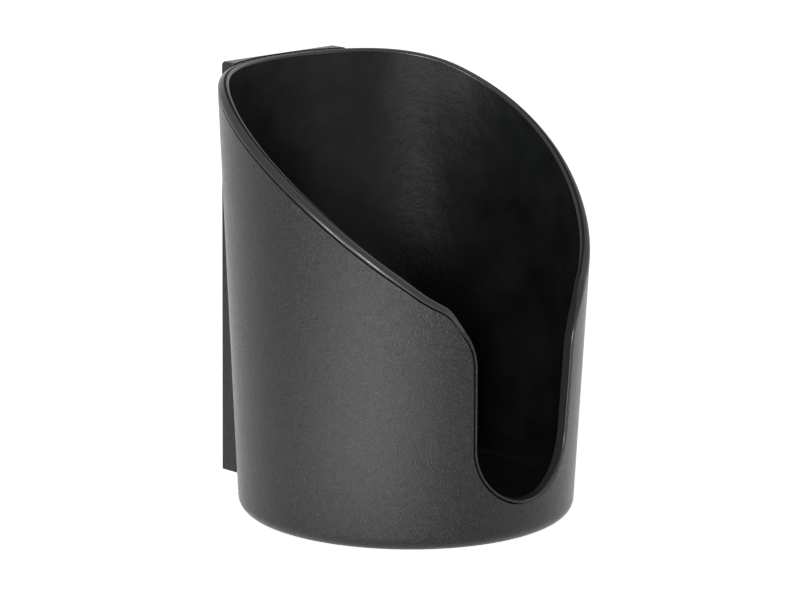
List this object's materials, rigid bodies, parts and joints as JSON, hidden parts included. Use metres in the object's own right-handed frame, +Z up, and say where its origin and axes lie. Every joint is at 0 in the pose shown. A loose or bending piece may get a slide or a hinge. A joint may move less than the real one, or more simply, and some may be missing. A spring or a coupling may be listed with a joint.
{
  "type": "cup holder",
  "caption": "Round tapered cup holder with a sloping rim, a handle slot with a full-round bottom at the front and a flat mounting pad on the back.",
  "frame": {"origin": "centre of the cup's flat underside, on the cup's axis", "axes": "+Z up along the cup's axis, +Y to the back, out of the mounting pad, -Y to the front with the handle slot, +X to the right seen from the front"},
  "size_m": [0.092, 0.0889, 0.1083],
  "materials": {
    "holder": "near-black plastic: fine matte texture outside, smooth and slightly glossy inside and on the rim"
  },
  "bodies": {
    "root": {"cup_holder": "holder"}
  },
  "joints": []
}
